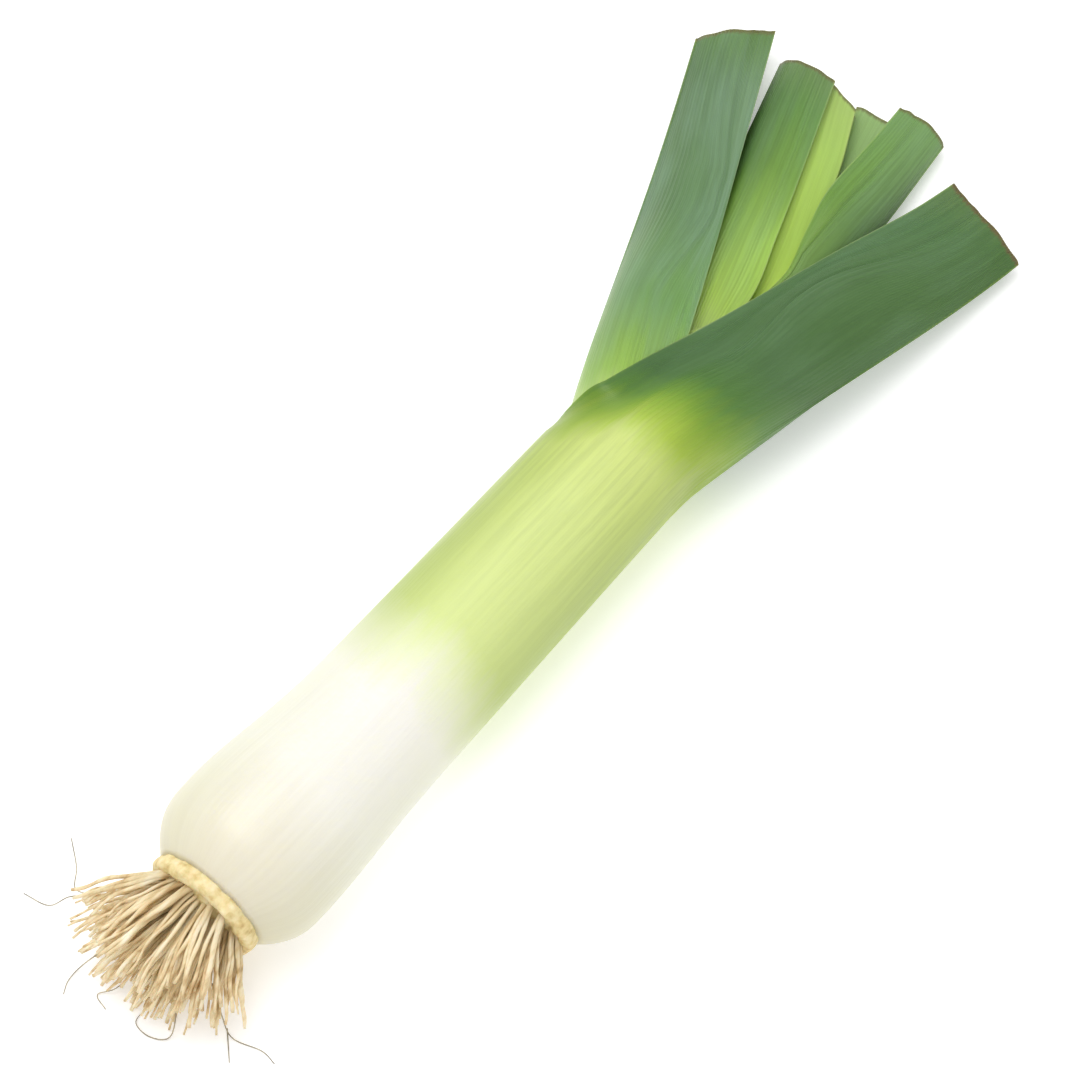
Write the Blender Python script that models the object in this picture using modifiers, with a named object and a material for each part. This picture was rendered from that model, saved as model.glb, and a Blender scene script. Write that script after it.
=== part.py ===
"""A trimmed leek, lying on its side as it is sold: a root plate with its brush of roots, and six leaves.

Every leaf is a closed sheath round the next one and, above its notch, a blade folded along its keel.
The leaves alternate between two ranks, left (+Y) and right (-Y), and each blade comes out through the
notch of the leaf outside it. +X runs from the root plate to the leaf tips and +Z is up. The leek lies
on the XY plane, and the origin is on the flat of its belly, under the middle of the shaft.
"""

import math
from collections import namedtuple

import bpy

MM = 0.001

# The shaft, measured from the root plate (station 0) towards the leaf tips, in millimetres.
ORIGIN_STATION = 85.0
COLLAR_STATION = 155.0
COLLAR_RADIUS = 19.2
SHAFT_TAPER = 1.6
BULB_SWELL = 2.2
BULB_STATION = 20.0
BULB_LENGTH = 24.0
BASE_RADIUS = 15.0
BASE_LENGTH = 14.0
BASE_ROUNDING = 2.4
BELLY_FLAT = 0.5

# The leaves, in millimetres. Each sheath's radius is a step smaller than that of the leaf outside it.
LAYER_STEP = 0.14
LEAF_GAP = 0.3
HEART_WALL_SHARE = 0.8
BLADE_THICKNESS = 1.3
TIP_THICKNESS = 1.0
THINNING_LENGTH = 30.0
BLADE_ARCH = 2.0
ARCH_END = 277.0
INNER_SHEATH_START = 3.8

# The keel leaves the shaft at the bend, and the sheath opens at the notch. Keel and margin are given as
# (station, distance from the shaft's axis towards the leaf's own rank). The blade's lower half reaches
# past its upper margin by "under" at the cut, or stops short of it where that is negative. The blade is
# cut across at the cut station, plus the slant times the distance from the keel.
Leaf = namedtuple(
    "Leaf", "name rank bend notch opening cut slant tip_half under columns keel margin colour"
)
LEAVES = (
    Leaf("outer_leaf_right", -1, 155.0, 149.0, 15.0, 282.5, 0.25, 6.0, 0.0, 32,
         ((165.0, 20.0), (212.0, 29.0), (282.0, 41.2)),
         ((155.0, -17.6), (160.0, -14.1), (165.0, -10.8), (195.0, -4.0), (247.0, 3.8), (287.0, 13.0)),
         (0.09, 0.20, 0.06, 1.0)),
    Leaf("second_leaf_left", 1, 155.0, 154.0, 14.0, 289.5, 0.54, 5.8, -4.0, 28,
         ((165.0, 20.8), (193.0, 32.9), (289.0, 74.2)),
         ((162.0, -13.8), (169.0, -6.6), (196.0, 7.0), (253.0, 34.3), (299.0, 54.9)),
         (0.17, 0.31, 0.16, 1.0)),
    Leaf("third_leaf_right", -1, 170.0, 171.0, 16.0, 303.0, 0.0, 4.85, 0.0, 24,
         ((206.0, 11.2), (275.0, 4.8), (301.0, 2.5)),
         ((187.0, -11.5), (198.0, -6.0), (212.0, -2.0), (230.0, -1.8), (247.0, -7.0), (265.0, -11.6),
          (292.0, -12.8)),
         (0.10, 0.23, 0.05, 1.0)),
    Leaf("fourth_leaf_left", 1, 177.0, 177.0, 16.0, 297.5, 0.08, 4.1, 0.0, 20,
         ((206.0, 21.4), (264.0, 40.4), (297.0, 50.1)),
         ((185.0, -8.5), (193.0, -1.8), (221.0, 4.6), (241.0, 12.1), (297.0, 32.2)),
         (0.14, 0.27, 0.09, 1.0)),
    Leaf("fifth_leaf_right", -1, 183.0, 183.0, 14.0, 300.5, 0.0, 3.6, 16.0, 16,
         ((247.0, 4.2), (295.0, 1.1)),
         ((197.0, -6.5), (212.0, -0.8), (230.0, -0.6), (247.0, -5.2), (265.0, -8.6), (295.0, -9.5)),
         (0.22, 0.38, 0.12, 1.0)),
    Leaf("heart_leaf", 1, 195.0, 203.0, 24.0, 301.0, -0.28, 1.9, 0.0, 14,
         ((247.0, 24.9), (294.0, 41.1)),
         ((231.0, -0.3), (275.0, 14.3), (294.0, 22.4)),
         (0.36, 0.52, 0.11, 1.0)),
)
BASE_ROWS = (0.0, 0.12, 0.3, 0.6, 1.0)
SHAFT_ROWS = (24.0, 38.0, 62.0, 108.0)
OPENING_STEP = 5.0
BLADE_ROWS = 5

# The root plate's turned profile, as stations and radii: the dome that carries the roots, the corky ring
# round it and the neck that the sheaths close round.
PLATE_DOME = 4.0
DOME_STEPS = 5
RING_RADIUS = 14.4
RING_FACE = -0.35
RING_EDGE = 0.5
RING_WIDTH = 3.0
RING_BAND = 1.6
NECK_RADIUS = 12.0
NECK_EDGE = 1.0
PLATE_TOP = 3.2
PLATE_STEPS = 32
PLATE_COLOUR = (0.67, 0.51, 0.24, 1.0)

# The roots, in millimetres. They start in the dome and fan out sideways, by up to the fan angle at the
# edge of their bed, plus a lean towards the left. They droop, and wave a little more towards their ends.
# Those on the right are shorter, by up to the trim at the edge of the bed.
ROOT_COUNT = 40
ROOT_BED_RADIUS = 11.0
ROOT_SUNK = 1.0
ROOT_LENGTH = 25.5
ROOT_LENGTH_VARIES = 0.1
ROOT_RIGHT_TRIM = 0.3
ROOT_POINTS = 8
ROOT_RADIUS = 1.0
ROOT_TIP_RADIUS = 0.5
ROOT_FAN = math.radians(44.0)
ROOT_LEAN = math.radians(6.0)
ROOT_LIFT = 0.25
ROOT_DROOP = 9.0
ROOT_WAVE = 1.2
ROOT_WAVE_TURNS = 5.0
ROOT_CLEARANCE = 0.2
ROOT_COLOUR = (0.75, 0.60, 0.36, 1.0)
GOLDEN_ANGLE = math.pi * (3.0 - math.sqrt(5.0))


def smooth(t):
    """Ease from 0 to 1 as t goes from 0 to 1."""
    t = min(max(t, 0.0), 1.0)
    return t * t * (3.0 - 2.0 * t)


def through(points, x):
    """The smooth curve through a few (x, value) points, straight beyond the last."""
    last = len(points) - 1
    slopes = []
    for i in range(last + 1):
        (xa, a), (xb, b) = points[max(i - 1, 0)], points[min(i + 1, last)]
        slopes.append((b - a) / (xb - xa))
    if x >= points[last][0]:
        return points[last][1] + (x - points[last][0]) * slopes[last]
    i = max(k for k in range(last) if points[k][0] <= x)
    (xa, a), (xb, b) = points[i : i + 2]
    span = xb - xa
    t = (x - xa) / span
    return (
        (2 * t**3 - 3 * t**2 + 1) * a
        + (t**3 - 2 * t**2 + t) * span * slopes[i]
        + (3 * t**2 - 2 * t**3) * b
        + (t**3 - t**2) * span * slopes[i + 1]
    )


def full_radius(x):
    """The outer sheath's radius without its rounded base: swollen at the bulb, tapering to the collar."""
    x = min(x, COLLAR_STATION)
    taper = SHAFT_TAPER * (1.0 - x / COLLAR_STATION)
    bulb = BULB_SWELL * math.exp(-(((x - BULB_STATION) / BULB_LENGTH) ** 2))
    return COLLAR_RADIUS + taper + bulb


def full_half_height(layer, x):
    """Half the height of a leaf's section, from its sheath's radius down to its value at the cut."""
    leaf = LEAVES[layer]
    sheath = (1.0 - LAYER_STEP * layer) * full_radius(x)
    flattened = smooth((x - COLLAR_STATION) / (leaf.cut - COLLAR_STATION))
    return sheath + (leaf.tip_half - sheath) * flattened


def half_height(layer, x):
    """The same, with the sheath's base rounded in to the root plate."""
    cut_in = max(1.0 - x / BASE_LENGTH, 0.0) ** BASE_ROUNDING
    return full_half_height(layer, x) * (1.0 - cut_in * (1.0 - BASE_RADIUS / full_radius(0.0)))


def axis_height(x):
    """The height of every leaf's middle plane over the floor."""
    arch = min(max((x - COLLAR_STATION) / (ARCH_END - COLLAR_STATION), 0.0), 1.0)
    return full_half_height(0, x) - BELLY_FLAT + BLADE_ARCH * math.sin(math.pi * arch)


def leaf_point(layer, x, turn):
    """A point of a leaf's outer face. turn runs from -pi at the upper margin, over the keel at 0, to pi."""
    leaf = LEAVES[layer]
    half = half_height(layer, x)
    keel = half
    if x > leaf.bend:
        keel = through(((leaf.bend, half_height(layer, leaf.bend)),) + leaf.keel, x)
    margin = -half
    if x > leaf.notch:
        margin = through(((leaf.notch, -half_height(layer, leaf.notch)),) + leaf.margin, x)
    closed = 1.0 - smooth((x - leaf.notch) / leaf.opening)
    quarter = math.pi / 2.0
    if abs(turn) <= quarter:
        inward = half * (1.0 - math.cos(turn))
        rise = half * math.sin(abs(turn))
    else:
        past = (abs(turn) - quarter) / quarter
        if turn > 0.0:
            margin -= leaf.under * max((x - leaf.notch) / (leaf.cut - leaf.notch), 0.0) ** 2
        across = closed * math.sin(past * quarter) + (1.0 - closed) * past
        inward = half + (keel - margin - half) * across
        rise = half * (closed * math.cos(past * quarter) + 1.0 - closed)
    rise = max(math.copysign(rise, -turn), BELLY_FLAT - full_half_height(layer, x))
    return x, leaf.rank * (keel - inward), axis_height(x) + rise


def leaf_thickness(layer, x):
    """A leaf's thickness: a sheath that fills its step, thinning to the blade before the notch."""
    leaf = LEAVES[layer]
    half = half_height(layer, x)
    wall = half * HEART_WALL_SHARE
    if layer + 1 < len(LEAVES):
        wall = half - half_height(layer + 1, x) - LEAF_GAP
    thinned = smooth((x - leaf.notch + THINNING_LENGTH) / THINNING_LENGTH)
    blade = TIP_THICKNESS + (BLADE_THICKNESS - TIP_THICKNESS) * smooth((leaf.cut - x) / THINNING_LENGTH)
    slope = half_height(layer, x + 0.5) - half_height(layer, x - 0.5)
    return (wall + (blade - wall) * thinned) / math.hypot(1.0, slope)


def leaf_rows(layer):
    """The stations of a leaf's rows of points, closer together where its form changes."""
    leaf = LEAVES[layer]
    start = INNER_SHEATH_START if layer else 0.0
    rows = [start] + [share * BASE_LENGTH for share in BASE_ROWS if share * BASE_LENGTH > start]
    rows += SHAFT_ROWS
    opened = leaf.notch + leaf.opening
    marks = (min(leaf.bend, leaf.notch), leaf.notch, opened)
    for near, far in zip(marks, marks[1:]):
        count = math.ceil((far - near) / OPENING_STEP)
        rows += [near + (far - near) * i / count for i in range(count)]
    rows += [opened + (leaf.cut - opened) * i / BLADE_ROWS for i in range(BLADE_ROWS + 1)]
    return rows


def material(name, colour, roughness):
    """A Principled material of one colour."""
    made = bpy.data.materials.new(name)
    made.use_nodes = True
    shader = made.node_tree.nodes["Principled BSDF"]
    shader.inputs["Base Color"].default_value = colour
    shader.inputs["Roughness"].default_value = roughness
    shader.inputs["Metallic"].default_value = 0.0
    return made


def place(name, data, parent, finish):
    """A named object in the leek's collection, fixed to its parent."""
    made = bpy.data.objects.new(name, data)
    bpy.data.collections["leek"].objects.link(made)
    made.parent = parent
    data.materials.append(finish)
    return made


def leaf_grid(layer):
    """The open outer face of a leaf: rows from margin to margin, joined at the seam below the notch."""
    leaf = LEAVES[layer]
    points = []
    rings = []
    for row in leaf_rows(layer):
        blade_share = max((row - leaf.notch) / (leaf.cut - leaf.notch), 0.0)
        ring = []
        for column in range(leaf.columns + 1):
            if column == leaf.columns and row <= leaf.notch:
                ring.append(ring[0])
                continue
            turn = math.pi * (2.0 * column / leaf.columns - 1.0)
            keel_y = leaf_point(layer, row, 0.0)[1]
            from_keel = abs(leaf_point(layer, row, turn)[1] - keel_y)
            x = row + leaf.slant * from_keel * blade_share**3
            ring.append(len(points))
            points.append(leaf_point(layer, x, turn))
        rings.append(ring)
    faces = []
    for near, far in zip(rings, rings[1:]):
        for j in range(leaf.columns):
            face = (near[j], far[j], far[j + 1], near[j + 1])
            faces.append(face if leaf.rank > 0 else face[::-1])
    return points, faces


def build_leaf(layer, parent):
    """One leaf: its outer face, thickened inwards."""
    leaf = LEAVES[layer]
    points, faces = leaf_grid(layer)
    mesh = bpy.data.meshes.new(leaf.name)
    mesh.from_pydata([[value * MM for value in point] for point in points], [], faces)
    mesh.shade_smooth()
    made = place(leaf.name, mesh, parent, material(leaf.name, leaf.colour, 0.45))
    walls = [leaf_thickness(layer, point[0]) for point in points]
    thickest = max(walls)
    group = made.vertex_groups.new(name="thickness")
    for index, wall in enumerate(walls):
        group.add([index], wall / thickest, "REPLACE")
    shell = made.modifiers.new("thickness", "SOLIDIFY")
    shell.thickness = thickest * MM
    shell.offset = -1.0
    shell.vertex_group = group.name
    shell.use_even_offset = True
    return made


def plate_profile():
    """The root plate's outline from the top of its neck, out round the ring and in over the dome."""
    outline = [(PLATE_TOP, 0.0), (PLATE_TOP, NECK_RADIUS - NECK_EDGE), (PLATE_TOP - NECK_EDGE, NECK_RADIUS)]
    outline += [(RING_FACE, NECK_RADIUS), (RING_FACE, RING_RADIUS - RING_EDGE)]
    outline += [(RING_FACE - RING_EDGE, RING_RADIUS), (RING_FACE - RING_WIDTH, RING_RADIUS - RING_EDGE)]
    for i in range(DOME_STEPS + 1):
        radius = (RING_RADIUS - RING_BAND) * (1.0 - i / DOME_STEPS)
        outline.append((dome_station(radius), radius))
    return outline


def dome_station(radius):
    """Where the root plate's dome lies at a distance from its middle."""
    return RING_FACE - RING_EDGE - PLATE_DOME * (1.0 - (radius / RING_RADIUS) ** 2)


def build_plate(parent):
    """The root plate, turned about the shaft's axis."""
    outline = plate_profile()
    mesh = bpy.data.meshes.new("root_plate")
    edges = [(i, i + 1) for i in range(len(outline) - 1)]
    mesh.from_pydata([(radius * MM, 0.0, station * MM) for station, radius in outline], edges, [])
    made = place("root_plate", mesh, parent, material("root_plate", PLATE_COLOUR, 0.7))
    made.rotation_euler = (0.0, math.pi / 2.0, 0.0)
    turned = made.modifiers.new("turned", "SCREW")
    turned.steps = PLATE_STEPS
    turned.render_steps = PLATE_STEPS
    turned.use_merge_vertices = True
    turned.merge_threshold = 0.00001
    turned.use_smooth_shade = True
    return made


def root_path(index):
    """The middle line of one root, from the dome outwards, with its radius at each point."""
    bed = ROOT_BED_RADIUS * math.sqrt((index + 0.5) / ROOT_COUNT)
    y_start = bed * math.cos(index * GOLDEN_ANGLE)
    z_start = bed * math.sin(index * GOLDEN_ANGLE)
    heading = ROOT_LEAN + ROOT_FAN * y_start / ROOT_BED_RADIUS
    reach = ROOT_LENGTH * (1.0 - ROOT_LENGTH_VARIES + ROOT_LENGTH_VARIES * math.sin(index * GOLDEN_ANGLE))
    reach *= 1.0 - ROOT_RIGHT_TRIM * max(-y_start / ROOT_BED_RADIUS, 0.0)
    path = []
    for i in range(ROOT_POINTS):
        share = i / (ROOT_POINTS - 1.0)
        radius = ROOT_RADIUS + (ROOT_TIP_RADIUS - ROOT_RADIUS) * share
        wave = ROOT_WAVE * share * math.sin(ROOT_WAVE_TURNS * share + (y_start + z_start) / ROOT_BED_RADIUS)
        x = dome_station(bed) - ROOT_SUNK - reach * share * math.cos(heading)
        y = y_start + reach * share * math.sin(heading) + wave
        z = z_start * (1.0 + ROOT_LIFT * share) - ROOT_DROOP * share**2
        floor = radius + ROOT_CLEARANCE - axis_height(0.0)
        path.append((x, y, max(z, floor), radius))
    return path


def build_root(index, parent, finish):
    """One root: a tapered tube."""
    name = f"root_{index + 1:02d}"
    curve = bpy.data.curves.new(name, "CURVE")
    curve.dimensions = "3D"
    curve.bevel_depth = MM
    curve.bevel_resolution = 1
    curve.use_fill_caps = True
    line = curve.splines.new("POLY")
    path = root_path(index)
    line.points.add(len(path) - 1)
    for point, (x, y, z, radius) in zip(line.points, path):
        point.co = (x * MM, y * MM, z * MM, 1.0)
        point.radius = radius
    return place(name, curve, parent, finish)


def build():
    """The whole leek, in its own collection."""
    for old in list(bpy.data.objects):
        bpy.data.objects.remove(old)
    collection = bpy.data.collections.new("leek")
    bpy.context.scene.collection.children.link(collection)
    shaft = bpy.data.objects.new("shaft", None)
    shaft.location = (-ORIGIN_STATION * MM, 0.0, 0.0)
    collection.objects.link(shaft)
    plate = bpy.data.objects.new("plate", None)
    plate.location = (0.0, 0.0, axis_height(0.0) * MM)
    plate.parent = shaft
    collection.objects.link(plate)
    for layer in range(len(LEAVES)):
        build_leaf(layer, shaft)
    build_plate(plate)
    root_finish = material("root", ROOT_COLOUR, 0.75)
    for index in range(ROOT_COUNT):
        build_root(index, plate, root_finish)


build()
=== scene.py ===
import math
from collections import namedtuple

import bpy
import numpy as np
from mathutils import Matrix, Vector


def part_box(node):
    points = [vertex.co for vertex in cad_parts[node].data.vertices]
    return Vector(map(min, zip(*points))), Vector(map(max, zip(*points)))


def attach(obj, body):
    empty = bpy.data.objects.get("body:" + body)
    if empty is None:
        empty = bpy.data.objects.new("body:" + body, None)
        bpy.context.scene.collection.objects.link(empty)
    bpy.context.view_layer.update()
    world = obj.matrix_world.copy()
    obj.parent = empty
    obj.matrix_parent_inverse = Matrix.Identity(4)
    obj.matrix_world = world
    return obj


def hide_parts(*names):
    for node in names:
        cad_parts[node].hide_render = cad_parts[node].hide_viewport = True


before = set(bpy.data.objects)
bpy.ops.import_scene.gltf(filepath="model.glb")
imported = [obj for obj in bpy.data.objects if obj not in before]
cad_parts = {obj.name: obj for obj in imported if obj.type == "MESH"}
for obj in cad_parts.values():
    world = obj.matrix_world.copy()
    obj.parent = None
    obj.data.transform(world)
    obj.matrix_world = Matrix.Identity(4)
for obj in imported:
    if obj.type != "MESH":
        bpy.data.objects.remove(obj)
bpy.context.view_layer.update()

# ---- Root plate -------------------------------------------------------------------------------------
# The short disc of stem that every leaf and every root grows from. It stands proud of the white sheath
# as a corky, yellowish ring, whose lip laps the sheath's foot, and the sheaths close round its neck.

MM = 0.001
BASE_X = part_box("outer_leaf_right")[0].x / MM
PLATE_LOW, PLATE_HIGH = (corner.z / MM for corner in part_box("root_plate"))
PLATE_AXIS = (PLATE_LOW + PLATE_HIGH) / 2.0
RING_RADIUS = (PLATE_HIGH - PLATE_LOW) / 2.0
RING_OUTSIDE = RING_RADIUS + 1.2
RING_FOOT = RING_RADIUS - 1.6
RING_BACK = 0.1
RING_LIP = 0.35
RING_LIP_RADIUS = RING_RADIUS + 0.7
RING_LAP = 0.3
RING_WIDTH = 3.7
RING_FULLNESS = 0.6
RING_STEPS = 20
PLATE_DOME = 4.0
DOME_EDGE = -0.85
DOME_STEPS = 30
PLATE_NECK = 11.8
PLATE_TOP = 3.0
NECK_EDGE = 1.0
NECK_POINTS = 6
CENTRE_HOLE = 0.05
PLATE_AROUND = 220
LUMP_HEIGHT = 0.55
LUMP_SIZE = 1.1
LUMP_OUTWARDS = 0.5
LUMP_DOWNWARDS = 0.7
CORK_BLOTCH = 18.0 / 7.0
CORK_GRAIN = 0.45


def linear(code):
    """A colour written as sRGB hex, turned linear."""
    parts = [int(code[i : i + 2], 16) / 255.0 for i in (0, 2, 4)]
    return [p / 12.92 if p <= 0.04045 else ((p + 0.055) / 1.055) ** 2.4 for p in parts] + [1.0]


def add(tree, kind, inputs=None, stops=(), **settings):
    """Adds a shader node with its settings. An input is a value, or the output that feeds it."""
    made = tree.nodes.new("ShaderNode" + kind)
    for key, value in settings.items():
        setattr(made, key, value)
    for i, (place, colour) in enumerate(stops):
        stop = made.color_ramp.elements[i] if i < 2 else made.color_ramp.elements.new(place)
        stop.position = place
        stop.color = linear(colour) if isinstance(colour, str) else [colour] * 3 + [1.0]
    for key, value in (inputs or {}).items():
        if isinstance(value, bpy.types.NodeSocket):
            tree.links.new(value, made.inputs[key])
        else:
            made.inputs[key].default_value = value
    return made.outputs[0]


def finish(name, **surface):
    """A material of one Principled shader, with what is the same all over it on the shader's own sockets."""
    made = bpy.data.materials.new(name)
    made.use_nodes = True
    shader = made.node_tree.nodes["Principled BSDF"]
    for key, value in surface.items():
        shader.inputs[key.replace("_", " ")].default_value = value
    return made, made.node_tree, shader


def piece(name, points, faces, finishes, which=None, **maps):
    """A smooth object from a mesh in millimetres, with its finishes, which face has which, and its maps."""
    mesh = bpy.data.meshes.new(name)
    mesh.from_pydata((np.asarray(points) * MM).tolist(), [], faces)
    for made in finishes:
        mesh.materials.append(made)
    if which is not None:
        mesh.polygons.foreach_set("material_index", np.asarray(which, np.int32))
    for key, corners in maps.items():
        mesh.uv_layers.new(name=key).uv.foreach_set("vector", np.asarray(corners, np.float32).ravel())
    mesh.shade_smooth()
    made = bpy.data.objects.new(name, mesh)
    bpy.context.scene.collection.objects.link(made)
    return made


def waver(a, b, seed, waves=7):
    """A smooth unevenness between about -1 and 1 over two directions, the same each run."""
    dice = np.random.RandomState(seed)
    total = 0.0 * (a + b)
    for _ in range(waves):
        heading, phase = dice.uniform(0.0, 2.0 * math.pi, 2)
        total = total + np.sin(math.cos(heading) * a + math.sin(heading) * b + phase)
    return total / math.sqrt(waves)


def dome_station(radius):
    """Where the dome that carries the roots lies at a distance from its middle."""
    return DOME_EDGE - PLATE_DOME * (1.0 - (radius / RING_RADIUS) ** 2)


def plate_outline():
    """The plate's outline as (station, radius): neck, fat rounded ring and dome."""
    neck = PLATE_NECK - NECK_EDGE
    outline = [(PLATE_TOP, CENTRE_HOLE), (PLATE_TOP, neck), (PLATE_TOP - NECK_EDGE, PLATE_NECK)]
    outline += [(RING_BACK, PLATE_NECK), (RING_BACK, RING_FOOT), (RING_LIP, RING_LIP_RADIUS - RING_LAP)]
    for i in range(RING_STEPS + 1):
        turn = math.pi * i / RING_STEPS
        station = RING_LIP - RING_WIDTH * (1.0 - math.cos(turn)) / 2.0
        low = RING_LIP_RADIUS + (RING_FOOT - RING_LIP_RADIUS) * i / RING_STEPS
        outline.append((station, low + (RING_OUTSIDE - low) * math.sin(turn) ** RING_FULLNESS))
    for i in range(1, DOME_STEPS + 1):
        radius = RING_FOOT * (1.0 - i / DOME_STEPS)
        outline.append((dome_station(radius), max(radius, CENTRE_HOLE)))
    return np.array(outline)


def plate_mesh():
    """The outline turned about the shaft's axis and closed at both ends, with the cork's lumps on it."""
    outline = plate_outline()
    around = np.linspace(0.0, 2.0 * math.pi, PLATE_AROUND, endpoint=False)
    station, turn = np.meshgrid(outline[:, 0], around, indexing="ij")
    radius = np.repeat(outline[:, 1:], PLATE_AROUND, axis=1)
    open_air = (np.arange(len(outline)) > NECK_POINTS + 1)[:, None]
    y, z = radius * np.cos(turn), radius * np.sin(turn)
    lump = LUMP_HEIGHT * waver(y / LUMP_SIZE, z / LUMP_SIZE, seed=5, waves=12) * open_air
    on_ring = radius > RING_FOOT + RING_LAP
    radius = radius + LUMP_OUTWARDS * lump * on_ring
    station = station - LUMP_DOWNWARDS * np.abs(lump)
    points = np.stack([BASE_X + station, radius * np.cos(turn), PLATE_AXIS + radius * np.sin(turn)], -1)
    ids = np.arange(station.size).reshape(station.shape)
    after = np.roll(ids, -1, axis=1)
    sides = np.stack([ids[:-1], after[:-1], after[1:], ids[1:]], -1).reshape(-1, 4)
    return points.reshape(-1, 3), sides[:, ::-1].tolist() + [ids[0].tolist(), ids[-1][::-1].tolist()]


def corky_plate():
    """Dried cork: matt and yellowish, browner in blotches, with a fine grain."""
    made, tree, shader = finish("corky_root_plate", Roughness=0.7, IOR=1.45, Subsurface_Weight=0.15,
                                Subsurface_Scale=0.002)
    spot = add(tree, "TexCoord").node.outputs["Object"]
    blotches = add(tree, "TexNoise", {"Vector": spot, "Scale": 1.0 / (CORK_BLOTCH * MM), "Detail": 5.0})
    cork = ((0.25, "c0a061"), (0.75, "fbeec6"), (0.4, "e0c98c"), (0.52, "efdca4"))
    tint = add(tree, "ValToRGB", {"Fac": blotches}, cork)
    grain = add(tree, "TexNoise", {"Vector": spot, "Scale": 1.0 / (CORK_GRAIN * MM), "Detail": 4.0})
    dent = add(tree, "Bump", {"Height": grain, "Strength": 0.55, "Distance": 0.3 * MM})
    tree.links.new(tint, shader.inputs["Base Color"])
    tree.links.new(dent, shader.inputs["Normal"])
    return made


root_plate = piece("root_plate_cork", *plate_mesh(), [corky_plate()])
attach(root_plate, "root")
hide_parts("root_plate")

# ---- Heart leaf -------------------------------------------------------------------------------------
# The youngest leaf that shows: a soft yellow-green blade folded along its keel, at the middle of the fan.
# Like every leaf it is a sheath closed round the leaves within it, and a blade above the notch.

# A leaf has a place from the outside (0) in, a rank, and these, in millimetres from the foot: where its keel
# bends away, where its sheath opens and over what length, and where it is cut. Slant and bow shape the cut,
# tip_half is half its height, under is how much further the lower half reaches than the upper, fold is how
# sharp the keel is, and veins is how many are modelled. Keel and margin are each a few points: a station and
# the distance from the shaft's axis towards the leaf's own side.
Leaf = namedtuple(
    "Leaf", "name layer rank bend notch opening cut slant bow tip_half under fold veins keel margin"
)
LEFT, RIGHT = 1, -1

COLLAR_STATION = 155.0
COLLAR_RADIUS = 19.2
SHAFT_TAPER = 1.6
BULB_SWELL = 2.2
BULB_STATION = 20.0
BULB_LENGTH = 24.0
BASE_RADIUS = 15.0
BASE_LENGTH = 14.0
BASE_ROUNDING = 2.4
BELLY_FLAT = 0.5
LAYER_STEP = 0.14
LEAF_GAP = 0.3
HEART_LAYER = 5
HEART_WALL_SHARE = 0.8
BLADE_THICKNESS = 1.3
TIP_THICKNESS = 1.0
THINNING_LENGTH = 30.0
BLADE_ARCH = 2.0
ARCH_END = 277.0
INNER_SHEATH_START = 3.8
OUTER_CUT, OUTER_TIP_HALF = 282.5, 6.0

# What the CAD solids leave out: veins, a keel that is folded sharper towards the tip, an edge that thins,
# a cut that isn't true, and a surface that heaves a little, by the same amount for every leaf so that the
# nested ones stay apart.
VEIN_HEIGHT = 0.055
KEEL_RIDGE = 0.25
KEEL_RIDGE_TURN = 0.09
FOLD_START = 40.0
FOLD_LENGTH = 60.0
FOLD_SHARE = 0.85
CREASE_START = 25.0
CREASE = 0.5
SEAM = 0.04
EDGE_THICKNESS = 0.45
EDGE_WIDTH = 2.5
CUT_RAGGED = 0.2
CUT_RAGGED_REACH = 24
HEAVE = 0.55
HEAVE_LENGTH = 17.0
HEAVE_WIDTH = 9.0
SWAY_LENGTH = 27.2
SWAY_HEIGHT = 14.0
HEAVE_GROWS = 40.0
FLOOR_GRIP = 6.0
SHAFT_DENT = 0.16
SHAFT_DENT_LENGTH = 13.0
SHAFT_DENT_TURN = 1.0 / 3.0

# How closely a leaf's mesh is spaced, in rows and in columns a vein.
FOOT_ROWS = 12
NOTCH_ROWS_START = 12.0
COLUMNS_PER_VEIN = 4
ROW_NUDGE = 0.2
TURN_NUDGE = 0.01

# A leaf's three finishes, and its two maps: one holds the turn from margin to margin and the station as a
# share of the map's length, the other the distances from the cut and the margin as shares of the rim's.
OUTSIDE, INSIDE, CUT = 0, 1, 2
MAP_LENGTH = 300.0
RIM_REACH = 10.0

# The patterns' sizes in millimetres. They go a whole number of times round the shaft.
SHAFT_ROUND = 2.0 * math.pi * COLLAR_RADIUS
FINE_VEIN_SPACING = 0.635
STREAK_WIDTH = 1.72
CLOUD_WIDTH = 13.4
PATTERN_LENGTH = 43.0
CUT_BLOTCH = 2.0


def ease(t):
    """Ease from 0 to 1 as t goes from 0 to 1."""
    t = np.clip(t, 0.0, 1.0)
    return t * t * (3.0 - 2.0 * t)


def through(points, x):
    """The smooth curve through a few (station, value) points, straight beyond the last."""
    at, value = np.array(points).T
    last = len(at) - 1
    after, before = np.minimum(np.arange(last + 1) + 1, last), np.maximum(np.arange(last + 1) - 1, 0)
    slope = (value[after] - value[before]) / (at[after] - at[before])
    i = np.clip(np.searchsorted(at, x, side="right") - 1, 0, last - 1)
    span = at[i + 1] - at[i]
    t = (x - at[i]) / span
    curve = (2 * t**3 - 3 * t**2 + 1) * value[i] + (t**3 - 2 * t**2 + t) * span * slope[i]
    curve = curve + (3 * t**2 - 2 * t**3) * value[i + 1] + (t**3 - t**2) * span * slope[i + 1]
    return np.where(x >= at[last], value[last] + (x - at[last]) * slope[last], curve)


def full_radius(x):
    """The outer sheath's radius without its rounded base: swollen at the bulb, tapering to the collar."""
    x = np.minimum(x, COLLAR_STATION)
    bulb = BULB_SWELL * np.exp(-(((x - BULB_STATION) / BULB_LENGTH) ** 2))
    return COLLAR_RADIUS + SHAFT_TAPER * (1.0 - x / COLLAR_STATION) + bulb


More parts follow.
